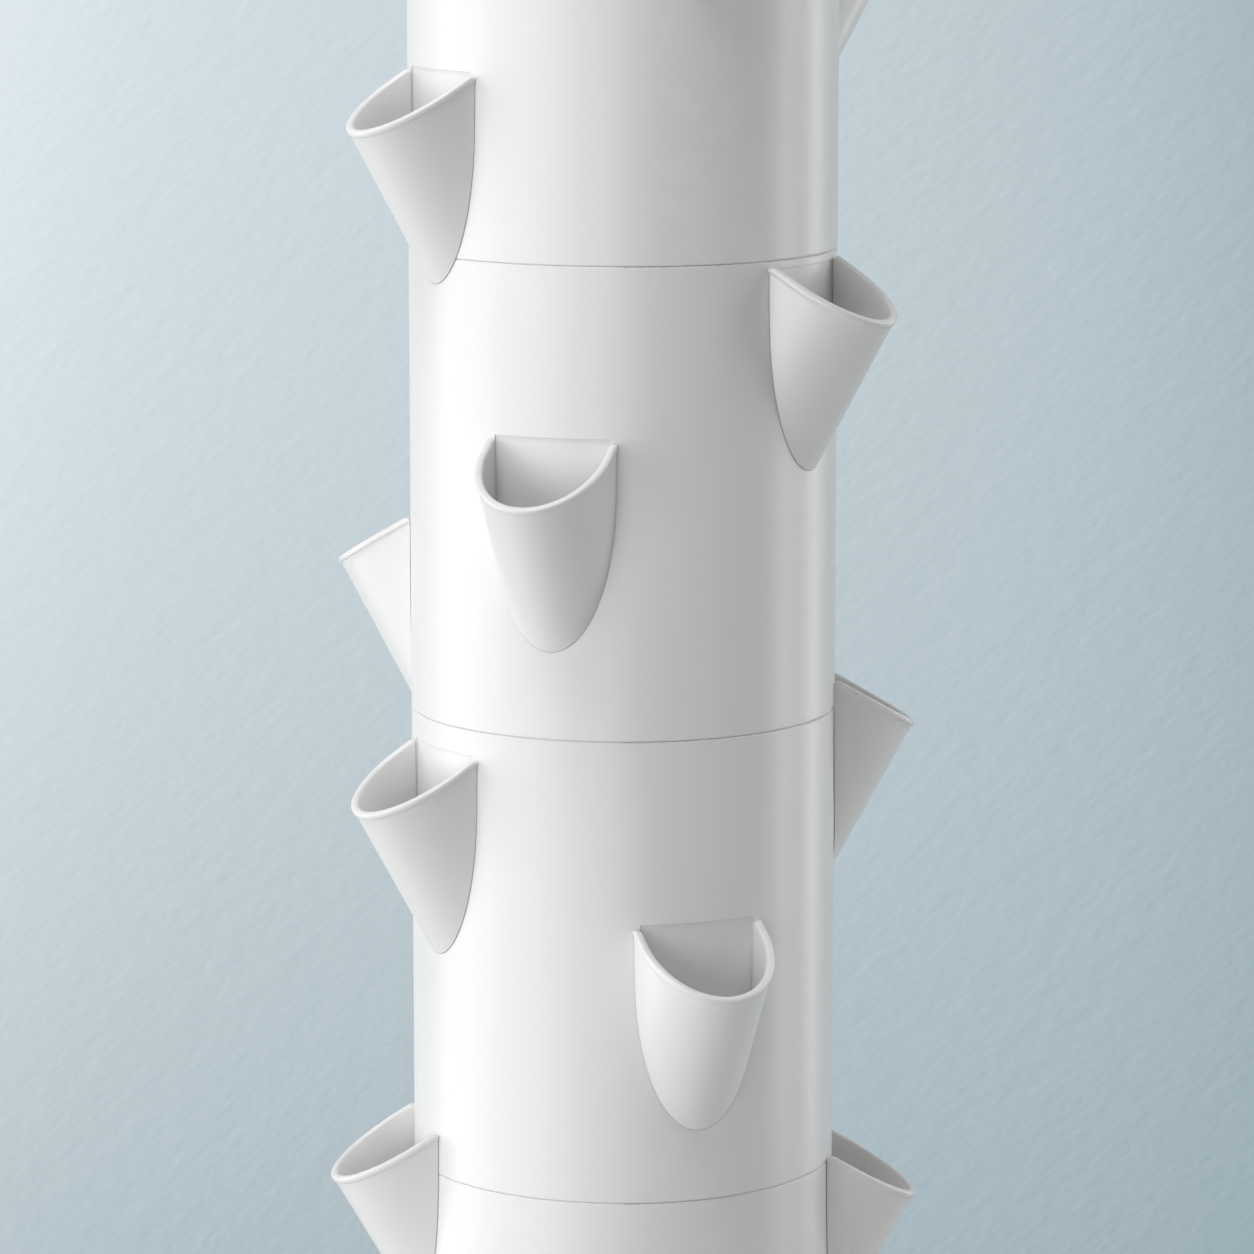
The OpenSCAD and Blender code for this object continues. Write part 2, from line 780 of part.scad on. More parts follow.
// Lever of the tap, shut when it stands across the barrel, with a groove along its top
module tap_lever() {
    hub_r = 9;
    arm_w = 10;
    end_r = 7;
    groove = 4;
    color(green) translate([0, spindle_y, lever_z]) difference() {
        union() {
            cylinder(h = lever_t, r = hub_r);
            translate([0, -arm_w / 2, 0]) cube([lever_l, arm_w, lever_t]);
            translate([lever_l, 0, 0]) cylinder(h = lever_t, r = end_r);
        }
        translate([0, 0, -1]) cylinder(h = lever_t + 2, r = screw_r);
        translate([hub_r + 5, -groove / 2, lever_t / 2]) cube([lever_l - hub_r - 9, groove, lever_t]);
    }
}

module tap_screw() {
    color(grey) translate([0, spindle_y, lever_z]) {
        cylinder(h = lever_t, r = screw_r);
        translate([0, 0, lever_t]) cylinder(h = screw_r + 0.5, r = 2 * screw_r);
    }
}

// Outline of the pump: a rectangle with round corners
module pump_outline(l, w, r) {
    square([l - 2 * r, w], center = true);
    square([l, w - 2 * r], center = true);
    for (x = [-1, 1]) for (y = [-1, 1])
        translate([x * (l / 2 - r), y * (w / 2 - r)]) circle(r = r);
}

module pump_housing() {
    bevel = 6;
    step = 4;
    gland_r = 6;
    color(dark) translate([0, 0, pump_z]) {
        linear_extrude(pump_h - bevel) pump_outline(pump_l, pump_w, pump_edge);
        translate([0, 0, pump_h - bevel - eps]) linear_extrude(bevel + eps)
            pump_outline(pump_l - 2 * step, pump_w - 2 * step, pump_edge - step);
        translate([pump_l / 2 - pump_edge - step, 0, pump_h - 1]) difference() {
            cylinder(h = gland_r + 1, r = gland_r);
            translate([0, 0, 2]) cylinder(h = gland_r, r = gland_r / 2);
        }
    }
}

// Slotted cover over the pump's inlet
module pump_strainer() {
    slot_n = 7;
    slot_w = 2.4;
    wall = 2.5;
    lift = 4;
    w = pump_w - pump_edge;
    h = pump_h - 14;
    pitch = (w - pump_edge) / slot_n;
    color(grey) translate([-pump_l / 2 - strainer_l, 0, pump_z + lift]) difference() {
        translate([0, -w / 2, 0]) cube([strainer_l, w, h]);
        translate([wall, -w / 2 + wall, wall]) cube([strainer_l, w - 2 * wall, h - 2 * wall]);
        for (k = [0:slot_n - 1])
            translate([-1, (k - (slot_n - 1) / 2) * pitch - slot_w / 2, 2 * wall])
                cube([strainer_l, slot_w, h - 4 * wall]);
    }
}

// Socket on the pump that takes the riser's foot
module pump_outlet() {
    base_t = 1;
    color(dark) {
        ring(socket_r, pipe_r + pipe_fit, pump_top + base_t, pump_top + pipe_seat + base_t);
        ring(socket_r + 3, pipe_r - pipe_wall, pump_top, pump_top + base_t);
    }
}

module pump_feet() {
    color(dark)
        for (x = [-1, 1]) for (y = [-1, 1])
            translate([x * (pump_l / 2 - pump_edge), y * (pump_w / 2 - pump_edge), pump_z - cup_h])
                cylinder(h = cup_h, r1 = cup_h + 1, r2 = cup_h - 3);
}

for (i = [0:section_n - 1]) {
    section(i);
    riser_guide(i);
    for (j = [0:len(pocket_letters) - 1])
        pocket(i, j);
}
top_cap();
distributor();
riser_lower();
riser_upper();
riser_coupler();
tub();
feet();
lid();
lid_seal();
cable_grommet();
filler_flap();
flap_pin();
gauge_bush();
float();
float_stem();
float_knob();
tap_body();
tap_washer();
tap_nut();
tap_lever();
tap_spindle();
tap_screw();
pump_housing();
pump_strainer();
pump_outlet();
pump_feet();
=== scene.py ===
import json
import math

import bpy
from mathutils import Matrix, Vector


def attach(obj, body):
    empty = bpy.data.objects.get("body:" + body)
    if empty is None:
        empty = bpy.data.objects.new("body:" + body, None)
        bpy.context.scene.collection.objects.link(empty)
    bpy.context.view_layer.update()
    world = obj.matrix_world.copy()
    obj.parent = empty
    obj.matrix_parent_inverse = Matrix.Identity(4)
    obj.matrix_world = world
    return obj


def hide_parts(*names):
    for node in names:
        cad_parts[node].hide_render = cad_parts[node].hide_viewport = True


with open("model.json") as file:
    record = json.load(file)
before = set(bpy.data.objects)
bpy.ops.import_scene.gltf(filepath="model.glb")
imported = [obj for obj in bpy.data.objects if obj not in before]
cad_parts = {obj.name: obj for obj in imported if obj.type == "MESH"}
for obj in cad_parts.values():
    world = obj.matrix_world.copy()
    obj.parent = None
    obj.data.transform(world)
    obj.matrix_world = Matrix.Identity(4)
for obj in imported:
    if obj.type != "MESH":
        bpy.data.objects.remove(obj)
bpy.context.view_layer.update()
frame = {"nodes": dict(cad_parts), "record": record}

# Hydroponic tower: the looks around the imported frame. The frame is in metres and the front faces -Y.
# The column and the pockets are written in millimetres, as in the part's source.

MM = 0.001

# Camera, from the photograph's seams and outlines
PHOTO_LENS = 154.4
SENSOR = 36.0
CAMERA_AT = (0.0, -2.5028, 1.18905)
CAMERA_DOWN = 9.726
CAMERA_TURN = -0.042

# Column
TOWER_R = 100.0
BORE_R = 97.0
COLUMN_Z = 290.0
SECTION_H = 217.0

# Where the pockets stand on each section: angle from the front, depth of the tips below its top
PLACES = {
    "1": {"a": (-78, -21), "b": (2, 78), "c": (93, -4), "d": (183, 88)},
    "2": {"a": (-60, 12), "b": (20.7, 85.5), "c": (101, -14), "d": (205, 98)},
    "3": {"a": (-108, 127), "b": (-19.4, 78.4), "c": (59.2, 1), "d": (150, 52)},
    "4": {"a": (-59.6, 132), "b": (22, -1), "c": (112, 47), "d": (210, 88)},
}

# Planting pocket: a leaning scoop, whose widest line stands out of the wall by its reach
MOUTH_R = 30.85
BULGE = 1.32
POCKET_WALL = 3.0
LEAN = math.radians(28.6)
TAPER = math.tan(math.radians(1))
RIM_SLOPE = math.radians(30.3)
REACH = 6.1
POCKET_GAP = 0.3

# Its rim: a bead, with rounded edges and rounded tips
RIM_BEAD = 0.7
BEAD_H = 3.6
BEAD_SHARE = 0.72
BEAD_SWELL = 0.12
RIM_ROUND = 1.45
TIP_ROUND = 2.4
CORNER_SHARE = 0.45

# Its collar, which goes through the window in the column's wall and hooks behind it
WINDOW_TOP = 38.3
WINDOW_FOOT = 70.7
COLLAR_INSET = 2.4
COLLAR_WALL = 2.0
HOOK = 1.2
HOOK_T = 2.0

# Worked out from the sizes above
FLOOR_DROP = WINDOW_FOOT - COLLAR_WALL
TIP_Y = math.sqrt(TOWER_R ** 2 - MOUTH_R ** 2)
MOUTH_Y = TOWER_R + REACH
MOUTH_Z = -(MOUTH_Y - TIP_Y) * math.tan(RIM_SLOPE)
RIM_RISE = math.tan(RIM_SLOPE - LEAN)

# Where the searches for the wall look: below the rim, and back from the mouth's widest line
LOWEST = -110
DEEPEST = 45

# Pocket mesh: how many steps each stretch has, and how near two points count as one
ARC_STEPS = 64
FLANK_STEPS = 12
FLANK_CROWDING = 1.7
RISE_STEPS = 18
BEAD_STEPS = 5
CORNER_STEPS = 6
FALL_STEPS = 16
COLLAR_ROWS = 10
COLLAR_FLOOR_STEPS = 9
SHARP_ANGLE = 30
SAME_PLACE = 1e-6
TINY = 1e-9
WELD_PER_MM = 500


# Small helpers

def bisect(value, low, high, steps=40):
    """The place between low and high where value changes sign; value(low) is below zero."""
    for _ in range(steps):
        mid = (low + high) / 2
        if value(mid) < 0:
            low = mid
        else:
            high = mid
    return (low + high) / 2


def spread(low, high, count):
    """Evenly spaced values from low to high."""
    return [low + (high - low) * k / (count - 1) for k in range(count)]


def mesh_object(name, points, faces):
    """A smooth-shaded mesh object from points in metres, with its sharp edges by angle."""
    mesh = bpy.data.meshes.new(name)
    mesh.from_pydata([tuple(p) for p in points], [], faces)
    mesh.validate()
    for polygon in mesh.polygons:
        polygon.use_smooth = True
    mesh.set_sharp_from_angle(angle=math.radians(SHARP_ANGLE))
    made = bpy.data.objects.new(name, mesh)
    bpy.context.scene.collection.objects.link(made)
    return made


class Grid:
    """Points and faces, gathered as rows that are stitched to one another."""

    def __init__(self):
        self.points = []
        self.faces = []

    def row(self, points):
        """Adds points and returns their numbers."""
        first = len(self.points)
        self.points.extend(points)
        return list(range(first, first + len(points)))

    def stitch(self, a, b, closed=False):
        """Quads between two rows of the same length; corners that fall together are dropped."""
        n = len(a)
        for k in range(n if closed else n - 1):
            ring = [a[k], a[(k + 1) % n], b[(k + 1) % n], b[k]]
            corners = []
            for v in ring:
                if all((self.points[v] - self.points[w]).length > SAME_PLACE for w in corners):
                    corners.append(v)
            if len(corners) > 2:
                self.faces.append(corners)

    def weld(self):
        """Merges points that lie in the same place."""
        seen, index, kept = {}, [], []
        for p in self.points:
            key = tuple(round(c * WELD_PER_MM) for c in p)
            if key not in seen:
                seen[key] = len(kept)
                kept.append(p)
            index.append(seen[key])
        faces = []
        for face in self.faces:
            ring = []
            for v in (index[k] for k in face):
                if v not in ring:
                    ring.append(v)
            if len(ring) > 2:
                faces.append(ring)
        self.points, self.faces = kept, faces


# Planting pocket: formulas in millimetres, origin on the column's axis at the tips' height

def from_scoop(x, y, z):
    """A point of the leaning scoop's own frame, brought upright."""
    return Vector((
        x,
        -MOUTH_Y + y * math.cos(LEAN) - z * math.sin(LEAN),
        MOUTH_Z + y * math.sin(LEAN) + z * math.cos(LEAN),
    ))


def scoop_radius(z, inset):
    """Half of the scoop's width at a height in its own frame."""
    return MOUTH_R - inset + z * TAPER


def scoop_bulge(inset):
    """Depth of the scoop's half ellipse for half its width."""
    return (MOUTH_R * BULGE - inset) / (MOUTH_R - inset)


def flank_tip(inset):
    """How far back a flank's rounded tip runs before it meets the column's wall."""
    def outside(y):
        z = y * RIM_RISE - TIP_ROUND
        p = from_scoop(scoop_radius(z, inset), y, z)
        return TOWER_R + POCKET_GAP - math.hypot(p.x, p.y)
    return bisect(outside, 0, DEEPEST)


def tip_drop(left):
    """How far the rounded tip falls below the rim's line, at a distance from the flank's end."""
    if left >= TIP_ROUND:
        return 0
    return TIP_ROUND - math.sqrt(TIP_ROUND ** 2 - (TIP_ROUND - left) ** 2)


def scoop_line(station, inset):
    """The straight line down the scoop at a station, as a function of height, and the rim's height."""
    kind, side, value = station
    bulge = scoop_bulge(inset)
    if kind == "arc":
        angle = math.radians(value)
        fall = 1 + bulge * RIM_RISE * TAPER * math.cos(angle)
        rim_y = -bulge * (MOUTH_R - inset) * math.cos(angle) / fall

        def at(z):
            r = scoop_radius(z, inset)
            return from_scoop(r * math.sin(angle), -bulge * r * math.cos(angle), z)
        return at, rim_y * RIM_RISE
    tip = flank_tip(inset)
    y = value * tip

    def at(z):
        return from_scoop(side * scoop_radius(z, inset), y, z)
    return at, y * RIM_RISE - tip_drop(tip - y)


def wall_height(at, top):
    """Height, in the scoop's frame, where a line meets the column's wall."""
    def outside(z):
        p = at(z)
        return math.hypot(p.x, p.y) - TOWER_R - POCKET_GAP
    return bisect(outside, LOWEST, top) if outside(top) > TINY else top


def stations():
    """Round the pocket from its left tip to its right tip."""
    back = [1 - (1 - k / FLANK_STEPS) ** FLANK_CROWDING for k in range(FLANK_STEPS, 0, -1)]
    left = [("flank", -1, f) for f in back]
    arc = [("arc", 0, a) for a in spread(-90, 90, ARC_STEPS + 1)]
    right = [("flank", 1, f) for f in reversed(back)]
    return left + arc + right


def rounded_corner(before, corner, after, radius):
    """Points of a rounded corner between two neighbours of it."""
    a, b = before - corner, after - corner
    ra = min(radius, a.length * CORNER_SHARE)
    rb = min(radius, b.length * CORNER_SHARE)
    a, b = (v.normalized() if v.length > TINY else Vector() for v in (a, b))
    turn = spread(0, math.pi / 2, CORNER_STEPS)
    return [corner + a * ra * (1 - math.sin(t)) + b * rb * (1 - math.cos(t)) for t in turn]


def bead_step(low, high, crest):
    """A soft step from the pocket's side out to its bead."""
    points = []
    for k in range(BEAD_STEPS + 1):
        turn = math.pi * k / BEAD_STEPS
        along = low.lerp(high, (1 - math.cos(turn)) / 2)
        points.append(along + (crest - high) * BEAD_SWELL * math.sin(turn))
    return points


def pocket_profile(station):
    """The pocket's section at one station: up outside, over the rim, down inside, back along the wall."""
    outer, top_out = scoop_line(station, 0)
    bead, top_bead = scoop_line(station, -RIM_BEAD)
    inner, top_in = scoop_line(station, POCKET_WALL)
    foot_out = wall_height(outer, top_out)
    foot_bead = wall_height(bead, top_bead)
    foot_in = wall_height(inner, top_in)
    step_out = max(top_out - BEAD_H, foot_out)
    step_bead = max(top_bead - BEAD_H * BEAD_SHARE, foot_bead)
    floor = foot_in
    if inner(foot_in).z < -FLOOR_DROP:
        floor = bisect(lambda z: inner(z).z + FLOOR_DROP, foot_in, top_in)
    foot, low, high = outer(foot_out), outer(step_out), bead(step_bead)
    crest_out, crest_in, end = bead(top_bead), inner(top_in), inner(floor)
    rise = [foot.lerp(low, k / RISE_STEPS) for k in range(RISE_STEPS)]
    step = bead_step(low, high, crest_out)
    over = rounded_corner(high, crest_out, crest_in, RIM_ROUND)
    under = rounded_corner(crest_out, crest_in, end, RIM_ROUND)
    fall = [under[-1].lerp(end, k / FALL_STEPS) for k in range(1, FALL_STEPS + 1)]
    wall_y = -math.sqrt((TOWER_R + POCKET_GAP) ** 2 - end.x ** 2)
    seat = [end.lerp(Vector((end.x, wall_y, end.z)), t) for t in (0.5, 1)]
    return rise + step + over + under + fall + seat


def half_width(y, z, inset):
    """Half of the scoop's width at a height and a distance in front of the column's axis."""
    dy, dz = y + MOUTH_Y, z - MOUTH_Z
    along = dy * math.cos(LEAN) + dz * math.sin(LEAN)
    up = -dy * math.sin(LEAN) + dz * math.cos(LEAN)
    r = scoop_radius(up, inset)
    return math.sqrt(max(r * r - (min(along, 0) / scoop_bulge(inset)) ** 2, 1))


def collar_outline(radius, inset, foot):
    """The collar's U-shaped section where it crosses a cylinder round the column's axis."""
    outer, inner = [], []
    for z in spread(-WINDOW_TOP, foot, COLLAR_ROWS):
        w = half_width(-radius, z, inset)
        y = -math.sqrt(radius ** 2 - w ** 2)
        outer.append(Vector((half_width(y, z, inset), y, z)))
        z_in = max(z, foot + COLLAR_WALL)
        w = half_width(y, z_in, inset + COLLAR_WALL)
        inner.append(Vector((w, -math.sqrt(radius ** 2 - w ** 2), z_in)))

    def mirrored(points):
        return [Vector((-p.x, p.y, p.z)) for p in points]

    def across(p):
        turn = [math.asin(p.x / radius) * t for t in spread(1, -1, COLLAR_FLOOR_STEPS)][1:-1]
        return [Vector((radius * math.sin(t), -radius * math.cos(t), p.z)) for t in turn]
    return (outer + across(outer[-1]) + mirrored(reversed(outer))
            + mirrored(inner) + mirrored(across(inner[-1])) + list(reversed(inner)))


def pocket_shape():
    """The pocket's mesh in its own frame: the scoop and the collar behind it."""
    grid = Grid()
    rows = [grid.row(pocket_profile(s)) for s in stations()]
    for a, b in zip(rows, rows[1:]):
        grid.stitch(a, b, closed=True)
    grid.faces += [rows[0], rows[-1][::-1]]
    back_r = BORE_R - POCKET_GAP
    rings = [
        (TOWER_R + POCKET_GAP, COLLAR_INSET, -WINDOW_FOOT),
        (back_r, COLLAR_INSET, -WINDOW_FOOT),
        (back_r, COLLAR_INSET - HOOK, -WINDOW_FOOT - HOOK),
        (back_r - HOOK_T, COLLAR_INSET - HOOK, -WINDOW_FOOT - HOOK),
    ]
    rows = [grid.row(collar_outline(*ring)) for ring in rings]
    for a, b in zip(rows, rows[1:]):
        grid.stitch(b, a, closed=True)
    half = len(rows[-1]) // 2
    grid.stitch(list(reversed(rows[-1][half:])), rows[-1][:half])
    grid.stitch(rows[0][:half], list(reversed(rows[0][half:])))
    grid.weld()
    return grid


def make_pockets(material):
    """A shell in the place of each pocket's node, riding on its section."""
    shape = pocket_shape()
    for section, row in PLACES.items():
        top = COLUMN_Z + int(section) * SECTION_H
        for letter, (angle, drop) in row.items():
            place = Matrix.Scale(MM, 4) @ Matrix.Translation((0, 0, top - drop))
            place = place @ Matrix.Rotation(math.radians(angle), 4, "Z")
            node = f"pocket_{section}{letter}"
            piece = mesh_object(f"{node}_shell", [place @ p for p in shape.points], shape.faces)
            piece.data.materials.append(material)
            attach(piece, f"section_{section}")
            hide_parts(node)


# Materials: noise scales are per metre, heights and roundings in metres

CLOUD_SCALE = 9.0
MOTTLE_SCALE = 70.0
SPECK_SCALE = 650.0
DRAG_STRETCH = (260.0, 260.0, 9.0)
WAVE_STRETCH = (16.0, 16.0, 3.2)
WAVE_HEIGHT = 0.0016
WAVE_STRENGTH = 0.22
GRAIN_STRENGTH = 0.35
DUST = (0.52, 0.50, 0.46)
RUBBED = 0.5
PLASTIC_IOR = 1.5
COAT_ROUGHNESS = 0.12

# Each moulded material: colour, roughness, grain height, edge rounding, share of dust, clear coat
MOULDED = {
    "white_plastic": ((0.85, 0.848, 0.842), 0.31, 0.00003, 0.0005, 0.015, 0.0),
    "grey_plastic": ((0.42, 0.43, 0.44), 0.48, 0.00008, 0.0004, 0.2, 0.0),
    "black_plastic": ((0.045, 0.046, 0.05), 0.42, 0.00010, 0.0006, 0.25, 0.0),
    "black_rubber": ((0.028, 0.028, 0.03), 0.68, 0.00016, 0.0005, 0.35, 0.0),
    "green_plastic": ((0.10, 0.40, 0.17), 0.28, 0.00004, 0.0005, 0.08, 0.3),
}

BRUSH_STRETCH = (900.0, 60.0, 900.0)
BRUSH_HEIGHT = 0.00004
FILM_SCALE = 120.0
STEEL_CLEAN = (0.62, 0.62, 0.64)
STEEL_DULL = (0.5, 0.49, 0.48)


class Nodes:
    """The node tree of a material or a world, with short calls to add nodes and links."""

    def __init__(self, owner):
        owner.use_nodes = True
        self.owner = owner
        self.tree = owner.node_tree
        self.tree.nodes.clear()

    def add(self, kind, links=(), **settings):
        """Adds a node; links gives each of its sockets a value or another node's output."""
        node = self.tree.nodes.new(kind)
        for key, value in settings.items():
            setattr(node, key, value)
        for socket, source in dict(links).items():
            if isinstance(source, bpy.types.NodeSocket):
                self.tree.links.new(source, node.inputs[socket])
            else:
                node.inputs[socket].default_value = source
        return node

    def noise(self, vector, scale, detail, rough, seed):
        """Noise between 0 and 1; seed moves it to another part of the pattern."""
        links = {"Vector": vector, "Scale": scale, "Detail": detail, "Roughness": rough, "W": seed}
        return self.add("ShaderNodeTexNoise", links, noise_dimensions="4D").outputs["Fac"]

    def stretch(self, vector, scale):
        """Coordinates scaled by a different factor along each axis."""
        return self.add("ShaderNodeMapping", {"Vector": vector, "Scale": scale}).outputs["Vector"]

    def ramp(self, value, span, result=(0.0, 1.0)):
        """A value brought from one span to another, and held at its ends."""
        links = {"Value": value, "From Min": span[0], "From Max": span[1],
                 "To Min": result[0], "To Max": result[1]}
        return self.add("ShaderNodeMapRange", links).outputs["Result"]

    def math(self, operation, a, b):
        return self.add("ShaderNodeMath", {0: a, 1: b}, operation=operation).outputs[0]

    def mix(self, factor, a, b):
        """A blend of two colours, each a tuple or another node's output."""
        a, b = ((*c, 1) if isinstance(c, tuple) else c for c in (a, b))
        return self.add("ShaderNodeMix", {0: factor, 6: a, 7: b}, data_type="RGBA").outputs[2]

    def bump(self, height, distance, strength, normal=None):
        """A normal that follows a height, on top of another normal if there is one."""
        links = {"Height": height, "Distance": distance, "Strength": strength}
        if normal is not None:
            links["Normal"] = normal
        return self.add("ShaderNodeBump", links).outputs["Normal"]


def shade(colour, factor):
    """A lighter or darker colour."""
    return tuple(min(c * factor, 1) for c in colour)


def moulded(name, colour, gloss, grain, edge, dust, coat):
    """Moulded plastic or rubber: fine grain, slow waves, uneven gloss, dust in patches and rubbed edges."""
    n = Nodes(bpy.data.materials.new(name))
    place = n.add("ShaderNodeTexCoord").outputs["Object"]
    cloud = n.noise(place, CLOUD_SCALE, detail=4.0, rough=0.6, seed=1.3)
    mottle = n.noise(place, MOTTLE_SCALE, detail=5.0, rough=0.6, seed=4.7)
    speck = n.noise(place, SPECK_SCALE, detail=2.0, rough=0.5, seed=2.1)
    drag = n.noise(n.stretch(place, DRAG_STRETCH), 1.0, detail=3.0, rough=0.6, seed=7.7)
    waves = n.noise(n.stretch(place, WAVE_STRETCH), 1.0, detail=1.0, rough=0.4, seed=3.1)

    tint = n.mix(n.ramp(cloud, (0.3, 0.7)), shade(colour, 0.988), shade(colour, 1.008))
    tint = n.mix(n.ramp(mottle, (0.62, 0.8), (0.0, dust)), tint, DUST)
    worn = n.add("ShaderNodeNewGeometry").outputs["Pointiness"]
    patchy = n.ramp(mottle, (0.4, 0.6), (0.2, 1.0))
    rubbed = n.math("MULTIPLY", n.ramp(worn, (0.53, 0.62), (0.0, RUBBED)), patchy)
    tint = n.mix(rubbed, tint, shade(colour, 1.06))

    rough = n.ramp(mottle, (0.25, 0.75), (gloss - 0.02, gloss + 0.03))
    rough = n.math("ADD", rough, n.ramp(drag, (0.6, 0.75), (0.0, 0.04)))
    rounded = n.add("ShaderNodeBevel", {"Radius": edge}, samples=4).outputs["Normal"]
    normal = n.bump(waves, WAVE_HEIGHT, WAVE_STRENGTH, rounded)
    normal = n.bump(speck, grain, GRAIN_STRENGTH, normal)

    shader = n.add("ShaderNodeBsdfPrincipled", {
        "Base Color": tint, "Roughness": rough, "Normal": normal, "IOR": PLASTIC_IOR,
        "Coat Weight": coat, "Coat Roughness": COAT_ROUGHNESS})
    n.add("ShaderNodeOutputMaterial", {"Surface": shader.outputs["BSDF"]})
    return n.owner


def brushed_steel(name):
    """Drawn steel wire: fine rings of brushing, with a duller film in patches."""
    n = Nodes(bpy.data.materials.new(name))
    place = n.add("ShaderNodeTexCoord").outputs["Object"]
    lines = n.noise(n.stretch(place, BRUSH_STRETCH), 1.0, detail=3.0, rough=0.6, seed=5.0)
    film = n.noise(place, FILM_SCALE, detail=4.0, rough=0.6, seed=1.0)
    tint = n.mix(n.ramp(film, (0.35, 0.7)), STEEL_CLEAN, STEEL_DULL)
    rough = n.ramp(lines, (0.3, 0.7), (0.24, 0.36))
    rough = n.math("ADD", rough, n.ramp(film, (0.4, 0.8), (0.0, 0.12)))
    normal = n.bump(lines, BRUSH_HEIGHT, 0.5)
    shader = n.add("ShaderNodeBsdfPrincipled", {
        "Base Color": tint, "Roughness": rough, "Normal": normal, "Metallic": 1.0})
    n.add("ShaderNodeOutputMaterial", {"Surface": shader.outputs["BSDF"]})
    return n.owner


def make_materials():
    """Every material, by the name of its slot."""
    made = {name: moulded(name, *look) for name, look in MOULDED.items()}
    made["steel"] = brushed_steel("steel")
    return made


def dress_frame(materials):
    """Every CAD node that stays gets the material of its slot."""
    for part in frame["record"]["subparts"]:
        node = frame["nodes"][part["node"]]
        for slot in node.material_slots:
            slot.material = materials[part["material_slot"]]


# Stage: floor, background, lamps and camera

FLOOR_R = 1.45
FLOOR_RINGS = (0.02, 0.3, 0.8, FLOOR_R)
FLOOR_SIDES = 96
FLOOR_FADE = (FLOOR_R * 0.55, FLOOR_R * 0.97)
FLOOR_BELOW = 0.0004
FLOOR_TINTS = ((0.62, 0.647, 0.66), (0.66, 0.687, 0.70))
FLOOR_ROUGHNESS = 0.75
FLOOR_MOTTLE_SCALE = 6.0
FLOOR_GRAIN_SCALE = 180.0
FLOOR_GRAIN_HEIGHT = 0.0006

# Light: the height on the column that every lamp looks at, and the colour of the ambient light
LAMP_AIM = 0.75
AMBIENT = (0.165, 0.162, 0.158)

# Background: its lit and shaded colours of painted light, how fast that falls off sideways and downwards,
# and the picture's field
BACK_LIGHT = (0.73, 0.807, 0.847)
BACK_DARK = (0.332, 0.423, 0.468)
BACK_TONE = 0.604
SIDE_FALL = (0.377, 1.97)
DOWN_FALL = (0.112, 0.297)
CORNER_EASE = 0.55
FIELD_WIDTH = 0.2317
FIELD_TOP = -0.0541
FIELD_HEIGHT = 0.2275
FIELD_PAST = 1.3

# Plaster, its relief painted as light and shade: lean and length of its strokes, and for each size of
# stroke its scale, step and strength
STROKE_LEAN = math.radians(38)
STROKE_STRETCH = 2.6
STROKES = ((110.0, 0.0012, 0.15), (330.0, 0.0006, 0.20))


def make_floor():
    """A pale round floor that fades into the background at its edge."""
    n = Nodes(bpy.data.materials.new("floor"))
    place = n.add("ShaderNodeTexCoord").outputs["Object"]
    mottle = n.noise(place, FLOOR_MOTTLE_SCALE, detail=5.0, rough=0.6, seed=2.0)
    grain = n.noise(place, FLOOR_GRAIN_SCALE, detail=3.0, rough=0.6, seed=9.0)
    shader = n.add("ShaderNodeBsdfPrincipled", {
        "Base Color": n.mix(n.ramp(mottle, (0.3, 0.7)), *FLOOR_TINTS), "Roughness": FLOOR_ROUGHNESS,
        "Normal": n.bump(grain, FLOOR_GRAIN_HEIGHT, 0.4)})
    span = n.add("ShaderNodeVectorMath", {0: place}, operation="LENGTH").outputs["Value"]
    clear = n.add("ShaderNodeBsdfTransparent")
    mixed = n.add("ShaderNodeMixShader", {
        0: n.ramp(span, FLOOR_FADE), 1: shader.outputs["BSDF"], 2: clear.outputs["BSDF"]})
    n.add("ShaderNodeOutputMaterial", {"Surface": mixed.outputs["Shader"]})
    turns = [math.radians(360 * k / FLOOR_SIDES) for k in range(FLOOR_SIDES)]
    grid = Grid()
    rows = []
    for r in FLOOR_RINGS:
        rows.append(grid.row([Vector((r * math.cos(t), r * math.sin(t), -FLOOR_BELOW)) for t in turns]))
    for a, b in zip(rows, rows[1:]):
        grid.stitch(b, a, closed=True)
    grid.faces.append(rows[0])
    floor = mesh_object("floor", grid.points, grid.faces)
    floor.data.materials.append(n.owner)


def plaster(n, way, tone):
    """Adds a hand-plastered wall's relief as painted light and shade, lit from the upper left: a noise less
    itself a step away.
    """
    turned = n.add("ShaderNodeMapping", {"Vector": way, "Rotation": (0.0, STROKE_LEAN, 0.0)})
    lean = n.stretch(turned.outputs["Vector"], (1.0, 1.0, STROKE_STRETCH))
    for scale, step, strength in STROKES:
        away = {0: lean, 1: (-step, 0.0, step * STROKE_STRETCH)}
        off = n.add("ShaderNodeVectorMath", away, operation="ADD").outputs[0]
        here, there = (n.noise(spot, scale, detail=4.0, rough=0.6, seed=3.0) for spot in (lean, off))
        # Painted light and shade of each stroke's relief.
        tone = n.math("ADD", tone, n.math("MULTIPLY", n.math("SUBTRACT", here, there), strength))
    return tone


